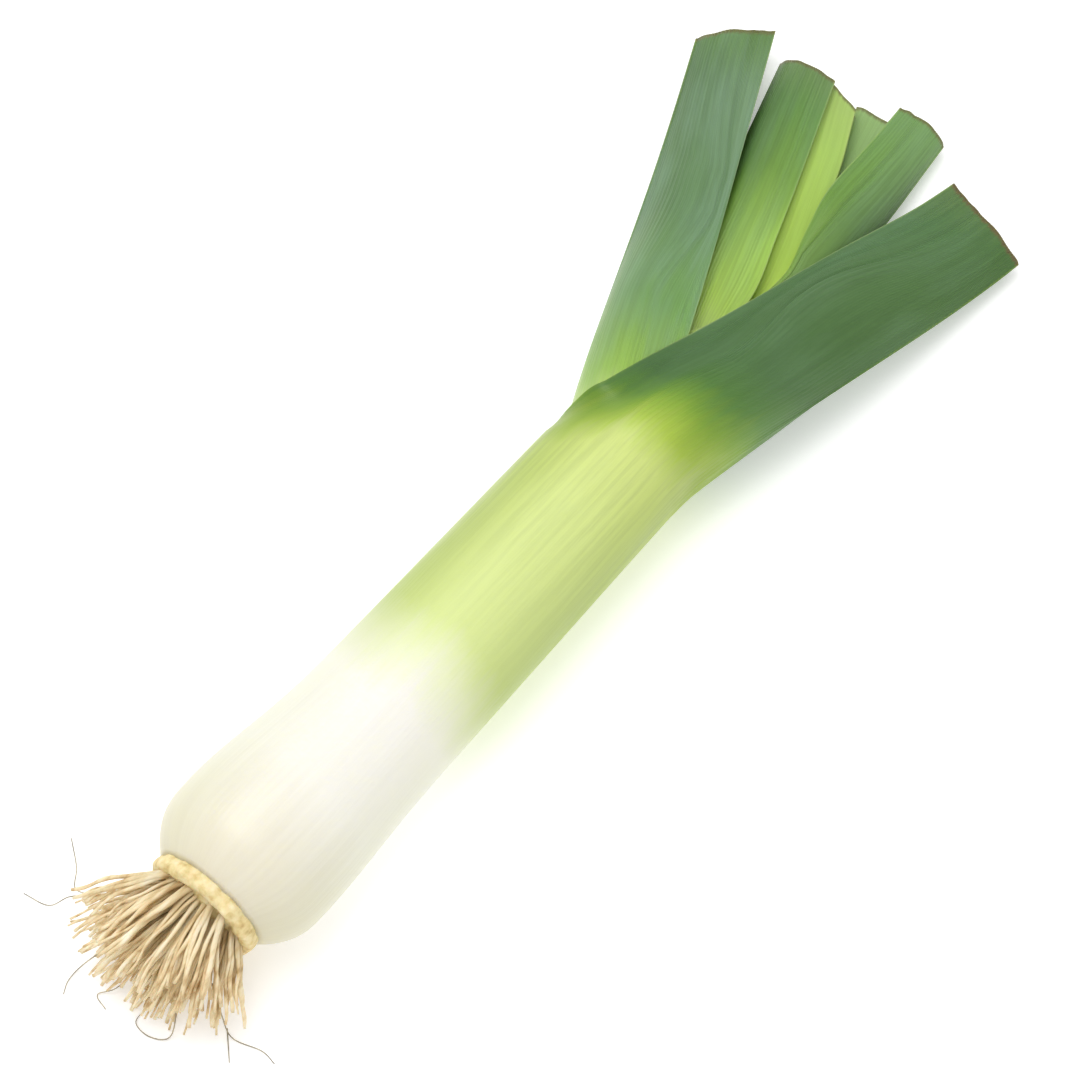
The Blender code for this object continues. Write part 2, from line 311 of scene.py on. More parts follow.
def full_half_height(layer, cut, tip_half, x):
    """Half the height of a leaf's section, from its sheath's radius down to its half height at the cut."""
    sheath = (1.0 - LAYER_STEP * layer) * full_radius(x)
    return sheath + (tip_half - sheath) * ease((x - COLLAR_STATION) / (cut - COLLAR_STATION))


def half_height(leaf, x):
    """The same, with the sheath's base rounded in to the root plate."""
    cut_in = np.maximum(1.0 - x / BASE_LENGTH, 0.0) ** BASE_ROUNDING
    full = full_half_height(leaf.layer, leaf.cut, leaf.tip_half, x)
    return full * (1.0 - cut_in * (1.0 - BASE_RADIUS / full_radius(0.0)))


def axis_height(x):
    """The height of every leaf's middle plane over the floor."""
    arch = np.clip((x - COLLAR_STATION) / (ARCH_END - COLLAR_STATION), 0.0, 1.0)
    lying = full_half_height(0, OUTER_CUT, OUTER_TIP_HALF, x) - BELLY_FLAT
    return lying + BLADE_ARCH * np.sin(math.pi * arch)


def leaf_point(leaf, x, turn):
    """Points of a leaf's outer face. turn runs from -pi at the upper margin, over the keel at 0, to pi."""
    half = half_height(leaf, x)
    bend = ((leaf.bend, float(half_height(leaf, leaf.bend))),)
    keel = np.where(x > leaf.bend, through(bend + leaf.keel, np.maximum(x, leaf.bend)), half)
    notch = ((leaf.notch, -float(half_height(leaf, leaf.notch))),)
    margin = np.where(x > leaf.notch, through(notch + leaf.margin, np.maximum(x, leaf.notch)), -half)
    closed = 1.0 - ease((x - leaf.notch) / leaf.opening)
    quarter = math.pi / 2.0
    share = np.maximum((x - leaf.notch) / (leaf.cut - leaf.notch), 0.0)
    margin = np.where(turn > 0.0, margin - leaf.under * share**2, margin)
    nose = half * (1.0 + leaf.fold * ease((x - leaf.notch - FOLD_START) / FOLD_LENGTH))
    nose = np.minimum(nose, np.maximum(FOLD_SHARE * (keel - margin), half))
    away = np.abs(turn)
    past = (away - quarter) / quarter
    across = closed * np.sin(past * quarter) + (1.0 - closed) * past
    folded = away <= quarter
    inward = np.where(folded, nose * (1.0 - np.cos(turn)), nose + (keel - margin - nose) * across)
    crease = 1.0 + CREASE * leaf.fold * ease((x - leaf.notch - CREASE_START) / FOLD_LENGTH)
    beyond = half * (closed * np.cos(past * quarter) + 1.0 - closed)
    rise = -np.sign(turn) * np.where(folded, half * np.abs(np.sin(away)) ** crease, beyond)
    rise = np.maximum(rise, BELLY_FLAT - full_half_height(leaf.layer, leaf.cut, leaf.tip_half, x))
    return np.stack(np.broadcast_arrays(BASE_X + x, leaf.rank * (keel - inward), axis_height(x) + rise), -1)


def heaved(points):
    """Points moved by the leek's own unevenness, which dies out at the floor."""
    x, y, z = np.moveaxis(points, -1, 0)
    station = x - BASE_X
    free = ease(z / FLOOR_GRIP)
    blade = ease((station - COLLAR_STATION) / HEAVE_GROWS)
    up = HEAVE * blade * waver(x / HEAVE_LENGTH, y / HEAVE_WIDTH, seed=11)
    side = HEAVE * blade * waver(x / SWAY_LENGTH, z / SWAY_HEIGHT, seed=12)
    turn = np.arctan2(z - axis_height(station), y)
    dent = SHAFT_DENT * (1.0 - blade) * waver(x / SHAFT_DENT_LENGTH, turn / SHAFT_DENT_TURN, seed=13)
    moved = points.copy()
    moved[..., 1] += free * side
    moved[..., 2] += free * (up + dent)
    return moved


def leaf_wall(leaf, x):
    """A leaf's thickness: a sheath that fills its step, thinning to the blade before the notch."""
    half = half_height(leaf, x)
    wall = half * HEART_WALL_SHARE
    if leaf.layer < HEART_LAYER:
        wall = half * LAYER_STEP / (1.0 - LAYER_STEP * leaf.layer) - LEAF_GAP
    thinned = ease((x - leaf.notch + THINNING_LENGTH) / THINNING_LENGTH)
    blade = TIP_THICKNESS + (BLADE_THICKNESS - TIP_THICKNESS) * ease((leaf.cut - x) / THINNING_LENGTH)
    slope = half_height(leaf, x + 0.5) - half_height(leaf, x - 0.5)
    return (wall + (blade - wall) * thinned) / np.hypot(1.0, slope)


def leaf_rows(leaf, shaft_rows, blade_step):
    """The stations of a leaf's rows of points: close at the foot, wide on the shaft, even on the blade."""
    start = INNER_SHEATH_START if leaf.layer else 0.0
    near_notch = leaf.notch - NOTCH_ROWS_START
    foot = np.linspace(start, BASE_LENGTH, FOOT_ROWS, endpoint=False)
    shaft = np.linspace(BASE_LENGTH, near_notch, shaft_rows, endpoint=False)
    blade = np.linspace(near_notch, leaf.cut, int((leaf.cut - leaf.notch) / blade_step))
    return np.concatenate([foot, shaft, blade])


def slid_to_cut(leaf, row, turn):
    """The rows slid along the leaf so that the last lies on the cut, and each point's way to its margin."""
    from_keel = np.abs(leaf_point(leaf, row, turn)[..., 1] - leaf_point(leaf, row, 0.0 * turn)[..., 1])
    share = np.maximum((row - leaf.notch) / (leaf.cut - leaf.notch), 0.0)
    width = np.maximum(from_keel.max(axis=1, keepdims=True), 1.0)
    bowed = leaf.bow * (1.0 - (2.0 * from_keel / width - 1.0) ** 2)
    ragged = CUT_RAGGED * waver(turn * 5.0, turn * 9.0, seed=20 + leaf.layer) * share**CUT_RAGGED_REACH
    station = row + share**3 * (leaf.slant * from_keel + bowed) + ragged
    return station, (math.pi - np.abs(turn)) / math.pi * 2.0 * width


def leaf_surfaces(leaf, row, station, turn, to_margin):
    """A leaf's outer and inner faces, a wall apart, with veins, a ridge along the keel and thinned edges."""
    outer = leaf_point(leaf, station, turn)
    along = leaf_point(leaf, station + ROW_NUDGE, turn) - leaf_point(leaf, station - ROW_NUDGE, turn)
    around = leaf_point(leaf, station, turn + TURN_NUDGE) - leaf_point(leaf, station, turn - TURN_NUDGE)
    normal = np.cross(along, around) * leaf.rank
    normal /= np.linalg.norm(normal, axis=-1, keepdims=True) + 1e-9
    opened = ease((row - leaf.notch) / leaf.opening)
    thinning = EDGE_THICKNESS + (1.0 - EDGE_THICKNESS) * ease(to_margin / EDGE_WIDTH)
    wall = leaf_wall(leaf, station) * (1.0 + (thinning - 1.0) * opened)
    vein = VEIN_HEIGHT * np.cos(turn * leaf.veins) * (0.5 + 0.5 * opened) * ease(row / 20.0)
    vein = vein * (0.7 + 0.5 * waver(turn * 7.0, row / 30.0, seed=30 + leaf.layer))
    ridge = KEEL_RIDGE * np.exp(-((turn / KEEL_RIDGE_TURN) ** 2)) * opened
    inner = outer - normal * (wall - 0.4 * vein)[..., None]

    # Within the fold the inner face stays a wall behind the keel, and on its own side of the middle plane.
    folded = np.abs(turn) < math.pi / 2.0
    keel = leaf.rank * leaf_point(leaf, station, 0.0 * turn)[..., 1]
    tucked = leaf.rank * np.minimum(leaf.rank * inner[..., 1], keel - wall)
    inner[..., 1] = np.where(folded, tucked, inner[..., 1])
    upper = np.maximum(inner[..., 2], axis_height(station) + SEAM)
    lower = np.minimum(inner[..., 2], axis_height(station) - SEAM)
    inner[..., 2] = np.where(folded & (turn < 0.0), upper, inner[..., 2])
    inner[..., 2] = np.where(folded & (turn > 0.0), lower, inner[..., 2])
    outer = heaved(outer + normal * (vein + ridge)[..., None])
    outer[..., 2] = np.maximum(outer[..., 2], 0.0)
    return outer, heaved(inner)


def leaf_mesh(leaf, shaft_rows, blade_step):
    """A leaf's outside, inside and cut, closed at the foot and along both margins, with its maps."""
    rows = leaf_rows(leaf, shaft_rows, blade_step)
    turns = np.linspace(-math.pi, math.pi, COLUMNS_PER_VEIN * leaf.veins + 1)
    row, turn = np.meshgrid(rows, turns, indexing="ij")
    station, to_margin = slid_to_cut(leaf, row, turn)
    outer, inner = leaf_surfaces(leaf, row, station, turn, to_margin)

    # Up to the notch the two margins are joined, so the last column takes the first one's points.
    ids = np.arange(row.size).reshape(row.shape)
    tied = rows <= leaf.notch
    ids[tied, -1] = ids[tied, 0]
    below = ids + row.size
    along = np.stack([(turn / math.pi + 1.0) / 2.0, station / MAP_LENGTH], -1)
    to_margin = np.where(row > leaf.notch, np.minimum(to_margin, RIM_REACH), RIM_REACH)
    rim = np.stack([(rows[-1] - row) / RIM_REACH, to_margin / RIM_REACH], -1)
    quads, alongs, rims, which = [], [], [], []

    def weave(kind, *corners):
        """Faces of one finish between four sets of corners, each (ids, rows, columns)."""
        quads.append(np.stack([names[r, c] for names, r, c in corners], -1).reshape(-1, 4))
        alongs.append(np.stack([along[r, c] for _, r, c in corners], -2).reshape(-1, 2))
        rims.append(np.stack([rim[r, c] for _, r, c in corners], -2).reshape(-1, 2))
        which.append(np.full(len(quads[-1]), kind))

    lo, hi = slice(None, -1), slice(1, None)
    weave(OUTSIDE, (ids, lo, lo), (ids, hi, lo), (ids, hi, hi), (ids, lo, hi))
    weave(INSIDE, (below, lo, lo), (below, lo, hi), (below, hi, hi), (below, hi, lo))
    weave(OUTSIDE, (ids, 0, lo), (ids, 0, hi), (below, 0, hi), (below, 0, lo))
    weave(CUT, (ids, -1, hi), (ids, -1, lo), (below, -1, lo), (below, -1, hi))
    notch_row = np.flatnonzero(~tied)[0] - 1
    near, far = slice(notch_row, len(rows) - 1), slice(notch_row + 1, len(rows))
    weave(OUTSIDE, (ids, near, 0), (below, near, 0), (below, far, 0), (ids, far, 0))
    weave(OUTSIDE, (ids, near, -1), (ids, far, -1), (below, far, -1), (below, near, -1))
    quads, alongs, rims, which = (np.concatenate(part) for part in (quads, alongs, rims, which))
    if leaf.rank < 0:
        quads = quads[:, ::-1]
        alongs, rims = (part.reshape(-1, 4, 2)[:, ::-1].reshape(-1, 2) for part in (alongs, rims))
    points = np.concatenate([outer.reshape(-1, 3), inner.reshape(-1, 3)])
    used, renamed = np.unique(quads, return_inverse=True)
    return points[used], renamed.reshape(-1, 4).tolist(), which, {"along": alongs, "rim": rims}


def leaf_skin(
    name, keel_tints, margin_tints, lean=0.0, bloom=0.2, shade=0.2, sides=0.0, rim="6f6a3c"
):
    """Living leaf under a thin wax: satin and faintly translucent, with fine veins that catch the light.

    The tints run from the foot to the cut, along the keel and along the margin. Lean is how much later the
    keel turns green, bloom is the share of blue-grey wax, shade is how far the veins darken it, sides is how
    much painted shade darkens the sheath along its keel and its seam, the two sides of the lying shaft, and
    rim is the line that dries along the cut.
    """
    made, tree, shader = finish(name, IOR=1.45, Subsurface_Weight=0.3, Subsurface_Scale=0.003,
                                Subsurface_Radius=(1.0, 1.0, 0.4), Coat_Weight=0.1, Coat_Roughness=0.3)

    def maths(operation, *values):
        return add(tree, "Math", dict(enumerate(values)), operation=operation)

    def remap(value, low, high, to_low=0.0, to_high=1.0):
        ends = {"Value": value, "From Min": low, "From Max": high, "To Min": to_low, "To Max": to_high}
        return add(tree, "MapRange", ends, interpolation_type="SMOOTHSTEP")

    def blend(share, below, above, way="MIX"):
        mixed = add(tree, "Mix", {0: share, 6: below, 7: above}, data_type="RGBA", blend_type=way)
        return mixed.node.outputs[2]

    def pattern(width, **noise):
        across = maths("MULTIPLY", turn, float(round(SHAFT_ROUND / width)))
        down = maths("MULTIPLY", station, float(round(MAP_LENGTH / PATTERN_LENGTH)))
        place = add(tree, "CombineXYZ", {"X": across, "Y": down})
        return add(tree, "TexNoise", {"Vector": place, "Scale": 1.0, **noise})

    turn = add(tree, "SeparateXYZ", {"Vector": add(tree, "UVMap", uv_map="along")})
    station = turn.node.outputs["Y"]
    from_cut = add(tree, "SeparateXYZ", {"Vector": add(tree, "UVMap", uv_map="rim")})
    from_margin = from_cut.node.outputs["Y"]

    # Long streaks along the veins, and broad clouds, both of which move the tints along and vary them.
    streak = pattern(STREAK_WIDTH, Detail=5.0, Roughness=0.62)
    cloud = pattern(CLOUD_WIDTH, Detail=3.0, Roughness=0.5)
    from_keel = maths("ABSOLUTE", maths("SUBTRACT", turn, 0.5))
    edge = remap(from_keel, 0.02, 0.47)
    late = maths("MULTIPLY", maths("SUBTRACT", 1.0, edge), remap(station, 0.38, 0.55, 0.0, lean))
    at = maths("SUBTRACT", station, late)
    at = maths("MULTIPLY_ADD", maths("SUBTRACT", streak, 0.5), 0.045, at)
    at = maths("MULTIPLY_ADD", maths("SUBTRACT", cloud, 0.5), 0.06, at)
    keel_tint = add(tree, "ValToRGB", {"Fac": at}, keel_tints)
    tint = blend(edge, keel_tint, add(tree, "ValToRGB", {"Fac": at}, margin_tints))
    green = remap(at, 0.52, 0.66)

    # Painted shade: the sheath is darkened along its keel and its seam, which run along the lying shaft's two
    # sides, and left lighter on its flanks between them.
    off_flank = maths("ABSOLUTE", maths("SUBTRACT", from_keel, 0.2))
    painted_side_shade = maths("MULTIPLY", remap(off_flank, 0.02, 0.2), remap(station, 0.2, 0.3, 0.35 * sides, sides))
    painted_side_shade = maths("MULTIPLY", painted_side_shade, remap(station, 0.6, 0.53))
    tint = blend(painted_side_shade, tint, linear("d2d9b6"), "MULTIPLY")

    # Wax lies thicker in some patches and greys the green there. The veins are darker and the margin paler.
    patch = remap(cloud, 0.4, 0.66)
    tint = blend(maths("MULTIPLY", maths("MULTIPLY", patch, green), bloom), tint, linear("86a68c"))
    vein = remap(streak, 0.62, 0.36, 0.0, shade)
    tint = blend(maths("MULTIPLY", vein, remap(at, 0.2, 0.62, 0.1, 1.0)), tint, linear("2c4a1c"))
    pale = maths("MULTIPLY", remap(from_margin, 0.1, 0.02, 0.0, 0.25), green)
    tint = blend(pale, tint, linear("b9cf84"))
    ragged = maths("MULTIPLY_ADD", maths("SUBTRACT", streak, 0.5), 0.25, from_cut)
    tint = blend(remap(ragged, 0.17, 0.03, 0.0, 0.85), tint, linear(rim))
    tree.links.new(tint, shader.inputs["Base Color"])

    # Fine parallel veins, closer together than the modelled ones, in low relief.
    veins = 2.0 * math.pi * round(SHAFT_ROUND / FINE_VEIN_SPACING)
    height = maths("MULTIPLY_ADD", maths("SINE", maths("MULTIPLY", turn, veins)), 0.22, streak)
    dent = add(tree, "Bump", {"Height": height, "Strength": 0.4, "Distance": 0.12 * MM})
    tree.links.new(dent, shader.inputs["Normal"])
    tree.links.new(remap(maths("ADD", patch, streak), 0.3, 1.5, 0.34, 0.5), shader.inputs["Roughness"])
    return made


def cut_face(name, fresh, dried):
    """A cut across the leaf: matt, moist tissue that has dried to a brown line."""
    made, tree, shader = finish(name, Roughness=0.6, IOR=1.4)
    spot = add(tree, "TexCoord").node.outputs["Object"]
    blotch = add(tree, "TexNoise", {"Vector": spot, "Scale": 1.0 / (CUT_BLOTCH * MM), "Detail": 3.0})
    tint = add(tree, "ValToRGB", {"Fac": blotch}, ((0.35, dried), (0.65, fresh)))
    tree.links.new(tint, shader.inputs["Base Color"])
    return made


def leaf_piece(leaf, skin, inside, cut, shaft_rows=24, blade_step=1.2):
    """A leaf with its three finishes, riding on the leek in place of its CAD solid."""
    points, faces, which, maps = leaf_mesh(leaf, shaft_rows, blade_step)
    made = piece(leaf.name + "_blade", points, faces, [skin, inside, cut], which, **maps)
    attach(made, "root")
    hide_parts(leaf.name)
    return made


HEART = Leaf(
    name="heart_leaf", layer=HEART_LAYER, rank=LEFT, veins=36,
    bend=195.0, notch=203.0, opening=24.0, cut=301.0,
    slant=-0.28, bow=1.0, tip_half=1.9, under=0.0, fold=0.0,
    keel=((247.0, 24.9), (294.0, 41.1)),
    margin=((231.0, -0.3), (275.0, 14.3), (294.0, 22.4)),
)
PALE_SHEATH = ((0.0, "f6f3e2"), (1.0, "a7c368"), (0.5, "eef0b6"))
HEART_KEEL = PALE_SHEATH + ((0.68, "bcdc50"), (0.8, "b0d24c"), (0.93, "a8c85c"))
HEART_MARGIN = PALE_SHEATH + ((0.68, "c4e256"), (0.8, "b4d650"), (0.93, "acce60"))
HEART_INSIDE = PALE_SHEATH + ((0.72, "a9cb56"),)
heart_skin = leaf_skin("heart_leaf_skin", HEART_KEEL, HEART_MARGIN, bloom=0.05, shade=0.1)
heart_inside = leaf_skin("heart_leaf_inside", HEART_INSIDE, HEART_INSIDE, bloom=0.0, shade=0.1)
heart_cut = cut_face("heart_leaf_cut", "b9cf86", "8d8a4e")
leaf_piece(HEART, heart_skin, heart_inside, heart_cut)

# ---- Fifth leaf -------------------------------------------------------------------------------------
# The next leaf out, on the right. Its mid-green blade lies in the third leaf's fold, and only the inside of
# its lower half shows, between the heart leaf and the third.

FIFTH = Leaf(
    name="fifth_leaf_right", layer=4, rank=RIGHT, veins=44,
    bend=183.0, notch=183.0, opening=14.0, cut=300.5,
    slant=0.0, bow=0.5, tip_half=3.6, under=16.0, fold=0.0,
    keel=((247.0, 4.2), (295.0, 1.1)),
    margin=(
        (197.0, -6.5), (212.0, -0.8), (230.0, -0.6),
        (247.0, -5.2), (265.0, -8.6), (295.0, -9.5),
    ),
)
MID_GREEN = ((0.0, "f6f3e2"), (1.0, "95b673"), (0.52, "e0e9a4"), (0.72, "9cc256"), (0.88, "96ba6a"))
fifth_skin = leaf_skin("fifth_leaf_skin", MID_GREEN, MID_GREEN, bloom=0.2, shade=0.18)
# Painted light: the inside's keel tints end paler at the tip, lifting the inner face that shows in shade
# between the heart leaf and the third.
PAINTED_LIGHT_PALER_TIP = MID_GREEN[:1] + ((1.0, "b4d493"),) + MID_GREEN[2:]
fifth_inside = leaf_skin("fifth_leaf_inside", PAINTED_LIGHT_PALER_TIP, MID_GREEN, bloom=0.1, shade=0.15)
leaf_piece(FIFTH, fifth_skin, fifth_inside, heart_cut)

# ---- Fourth leaf ------------------------------------------------------------------------------------
# A grey-green blade on the left, yellow-green where it comes out of the sheath. Its own sheath wraps the
# fifth leaf's, and its cut is rounded.

FOURTH = Leaf(
    name="fourth_leaf_left", layer=3, rank=LEFT, veins=54,
    bend=177.0, notch=177.0, opening=16.0, cut=297.5,
    slant=0.08, bow=1.2, tip_half=4.1, under=0.0, fold=0.6,
    keel=((206.0, 21.4), (264.0, 40.4), (297.0, 50.1)),
    margin=((185.0, -8.5), (193.0, -1.8), (221.0, 4.6), (241.0, 12.1), (297.0, 32.2)),
)
FOURTH_FOOT = ((0.0, "f6f3e2"), (1.0, "6c8c50"), (0.52, "e0e9a4"), (0.7, "a5c750"))
FOURTH_KEEL = FOURTH_FOOT + ((0.79, "5a8434"), (0.87, "466f2c"), (0.95, "4b7236"))
FOURTH_MARGIN = FOURTH_FOOT + ((0.79, "9dc553"), (0.87, "76a03c"), (0.95, "689446"))
fourth_skin = leaf_skin("fourth_leaf_skin", FOURTH_KEEL, FOURTH_MARGIN, bloom=0.12, shade=0.22)
MIDDLE_INSIDE = ((0.0, "f6f3e2"), (1.0, "7fa350"), (0.52, "e4ecaa"), (0.74, "9bbe55"))
middle_inside = leaf_skin("middle_leaf_inside", MIDDLE_INSIDE, MIDDLE_INSIDE, bloom=0.0, shade=0.15)
middle_cut = cut_face("middle_leaf_cut", "8fae62", "6e5a35")
leaf_piece(FOURTH, fourth_skin, middle_inside, middle_cut)

# ---- Third leaf -------------------------------------------------------------------------------------
# The straightest blade, on the right: bright along its upper margin, and dark in its middle band, partly its
# own colours and partly painted light on its lit upper face and painted shade in its fold. Its sheath wraps
# the fourth leaf's.

THIRD = Leaf(
    name="third_leaf_right", layer=2, rank=RIGHT, veins=64,
    bend=170.0, notch=171.0, opening=16.0, cut=303.0,
    slant=0.0, bow=0.6, tip_half=4.85, under=0.0, fold=0.6,
    keel=((206.0, 11.2), (275.0, 4.8), (301.0, 2.5)),
    margin=(
        (187.0, -11.5), (198.0, -6.0), (212.0, -2.0), (230.0, -1.8),
        (247.0, -7.0), (265.0, -11.6), (292.0, -12.8),
    ),
)
THIRD_FOOT = ((0.0, "f6f3e2"), (1.0, "78a05c"), (0.52, "dce8a0"))
# The keel tints darken into painted fold shade, and the margin tints brighten as painted light on the lit
# upper face, over the blade's own greens.
THIRD_KEEL_WITH_FOLD_SHADE = THIRD_FOOT + ((0.68, "769e3c"), (0.76, "507434"), (0.86, "557a3e"), (0.95, "6f9258"))
THIRD_MARGIN_WITH_PAINTED_LIGHT = THIRD_FOOT + ((0.68, "a4c74c"), (0.78, "8db548"), (0.88, "6e9a36"), (0.95, "74a04a"))
third_skin = leaf_skin("third_leaf_skin", THIRD_KEEL_WITH_FOLD_SHADE, THIRD_MARGIN_WITH_PAINTED_LIGHT, bloom=0.12, shade=0.22)
leaf_piece(THIRD, third_skin, middle_inside, middle_cut)

# ---- Second leaf ------------------------------------------------------------------------------------
# The widest blade, on the left: glaucous, with the thickest bloom of wax, and cut nearly square. Its
# sheath lies just under the outer leaf's.

SECOND = Leaf(
    name="second_leaf_left", layer=1, rank=LEFT, veins=78,
    bend=155.0, notch=154.0, opening=14.0, cut=289.5,
    slant=0.54, bow=0.0, tip_half=5.8, under=-4.0, fold=1.6,
    keel=((165.0, 20.8), (193.0, 32.9), (289.0, 74.2)),
    margin=((162.0, -13.8), (169.0, -6.6), (196.0, 7.0), (253.0, 34.3), (299.0, 54.9)),
)
SECOND_FOOT = ((0.0, "f6f3e2"), (1.0, "5f8540"), (0.5, "d2e396"))
SECOND_KEEL = SECOND_FOOT + ((0.57, "8fb54e"), (0.66, "648e3e"), (0.76, "537944"), (0.93, "587a4c"))
SECOND_MARGIN = SECOND_FOOT + ((0.57, "9cc252"), (0.66, "72a052"), (0.76, "739a68"), (0.93, "779870"))
second_skin = leaf_skin("second_leaf_skin", SECOND_KEEL, SECOND_MARGIN, bloom=0.3, shade=0.2)
leaf_piece(SECOND, second_skin, middle_inside, middle_cut)

# ---- Outer leaf -------------------------------------------------------------------------------------
# The outermost leaf. Its sheath is the whole visible shaft, white at the foot and yellow-green above, and
# its dark blade is folded to the right. It is the thickest and toughest of the leaves.

OUTER = Leaf(
    name="outer_leaf_right", layer=0, rank=RIGHT, veins=88,
    bend=155.0, notch=149.0, opening=15.0, cut=OUTER_CUT,
    slant=0.25, bow=-0.9, tip_half=OUTER_TIP_HALF, under=0.0, fold=1.7,
    keel=((165.0, 20.0), (212.0, 29.0), (282.0, 41.2)),
    margin=(
        (155.0, -17.6), (160.0, -14.1), (165.0, -10.8),
        (195.0, -4.0), (247.0, 3.8), (287.0, 13.0),
    ),
)
SHAFT_WHITE = ((0.0, "e9e1ca"), (1.0, "5f7a3c"), (0.05, "ece7d5"), (0.11, "f5f2e7"), (0.205, "f7f4ea"))
SHAFT_GREEN = ((0.25, "ebf0c8"), (0.288, "d9e698"), (0.42, "d5e38f"), (0.48, "d2e184"))
OUTER_SHEATH = SHAFT_WHITE + SHAFT_GREEN
KEEL_TURNS_GREEN = ((0.51, "acc544"), (0.545, "83a62a"), (0.58, "55822c"), (0.63, "446c2c"))
MARGIN_TURNS_GREEN = ((0.505, "acc64c"), (0.53, "83aa32"), (0.55, "598830"), (0.585, "406830"))
OUTER_KEEL = OUTER_SHEATH + KEEL_TURNS_GREEN + ((0.75, "496e34"), (0.9, "4a7032"))
OUTER_MARGIN = OUTER_SHEATH + MARGIN_TURNS_GREEN + ((0.75, "4c743c"), (0.9, "507844"))
# sides=1.0 puts the painted shade along the shaft's two sides.
outer_skin = leaf_skin("outer_leaf_skin", OUTER_KEEL, OUTER_MARGIN, lean=0.045, bloom=0.1, sides=1.0,
                       rim="6c5834")
OUTER_INSIDE = ((0.0, "f6f3e2"), (1.0, "6f9446"), (0.52, "dfe9a2"), (0.75, "8cb052"))
outer_inside = leaf_skin("outer_leaf_inside", OUTER_INSIDE, OUTER_INSIDE, bloom=0.0, shade=0.15)
outer_cut = cut_face("outer_leaf_cut", "8a9a58", "6e5838")
leaf_piece(OUTER, outer_skin, outer_inside, outer_cut, shaft_rows=90, blade_step=1.1)

# ---- Roots ------------------------------------------------------------------------------------------
# Stringy roots, trimmed to a brush and dried to straw. They grow out of the plate in locks of a few, and
# they fan out, cross and droop towards the ground.

ROOT_NAMES = sorted(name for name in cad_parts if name.startswith("root_") and name != "root_plate")
ROOT_BED = 11.0
ROOT_BED_EDGE = 11.3
ROOT_SCATTER = 1.0
ROOT_SUNK = 0.6
ROOT_LENGTH = 25.5
SHORTEST, LONGEST = 0.72, 1.06
RIGHT_TRIM = 0.3
ROOT_FAN = math.radians(44.0)
ROOT_LEAN = math.radians(6.0)
HEADING_SCATTER = 0.09
ROOT_LIFT = 0.25
ROOT_DROOP = 9.0
ROOT_BEND = 1.3
WAVE_WIDTH = 0.5
WAVE_RISE = 0.7
FEWEST_WAVES, MOST_WAVES = 5.0, 12.0
ANY_PHASE = 6.3
GOLDEN_ANGLE = math.pi * (3.0 - math.sqrt(5.0))
STRANDS_PER_LOCK = 6
STRAND_POINTS = 18
STRAND_SIDES = 7
STRAND_RADIUS = 0.66
THINNEST, THICKEST = 0.65, 1.2
STRAND_CROWN = 1.05
STRAND_TAPER = 0.45
STRAND_KNOT = 0.1
STRAND_KNOTS = 23.0
FLOOR_GAP = 0.05
ROOT_BLOTCH = 2.5
ROOT_WRINKLE = 1.0 / 2.2


def strand_path(index, dice):
    """The middle line of one root: out of the dome, with a wave of its own, drooping towards the ground."""
    bed = ROOT_BED * math.sqrt((index + 0.5) / len(ROOT_NAMES))
    y_start = bed * math.cos(index * GOLDEN_ANGLE) + dice.normal(0.0, ROOT_SCATTER)
    z_start = bed * math.sin(index * GOLDEN_ANGLE) + dice.normal(0.0, ROOT_SCATTER)
    away = math.hypot(y_start, z_start)
    y_start, z_start = (at * min(1.0, ROOT_BED_EDGE / away) for at in (y_start, z_start))
    heading = ROOT_LEAN + ROOT_FAN * y_start / ROOT_BED + dice.normal(0.0, HEADING_SCATTER)
    heading = min(heading, ROOT_LEAN + ROOT_FAN)
    trimmed = 1.0 - RIGHT_TRIM * max(-y_start / ROOT_BED, 0.0)
    reach = ROOT_LENGTH * dice.uniform(SHORTEST, LONGEST) * trimmed
    share = np.linspace(0.0, 1.0, STRAND_POINTS)
    phase = dice.uniform(0.0, ANY_PHASE)
    bend, twist = dice.normal(0.0, ROOT_BEND), dice.normal(0.0, ROOT_BEND)
    wave = WAVE_WIDTH * share * np.sin(dice.uniform(FEWEST_WAVES, MOST_WAVES) * share + phase)
    y = y_start + reach * share * math.sin(heading) + bend * share**2 + wave
    z = z_start * (1.0 + ROOT_LIFT * share) - ROOT_DROOP * share**2 + twist * share**1.5 + WAVE_RISE * wave
    foot = dome_station(min(math.hypot(y_start, z_start), RING_RADIUS)) + ROOT_SUNK
    x = foot - reach * share * math.cos(heading)
    return BASE_X + x, y, PLATE_AXIS + z


def tube(path, radii, sides):
    """A round tube along a path, closed at its ends: its points and its faces."""
    path = np.stack(path, -1)
    ahead = np.gradient(path, axis=0)
    ahead /= np.linalg.norm(ahead, axis=1, keepdims=True)
    side = np.cross(ahead, (0.0, 0.0, 1.0))
    side /= np.linalg.norm(side, axis=1, keepdims=True) + 1e-9
    over = np.cross(side, ahead)
    turn = np.linspace(0.0, 2.0 * math.pi, sides, endpoint=False)
    ring = side[:, None] * np.cos(turn)[None, :, None] + over[:, None] * np.sin(turn)[None, :, None]
    points = path[:, None] + ring * radii[:, None, None]
    ids = np.arange(len(path) * sides).reshape(len(path), sides)
    after = np.roll(ids, -1, axis=1)
    faces = np.stack([ids[:-1], after[:-1], after[1:], ids[1:]], -1).reshape(-1, 4).tolist()
    return points.reshape(-1, 3), [f[::-1] for f in faces] + [ids[0].tolist(), ids[-1][::-1].tolist()]


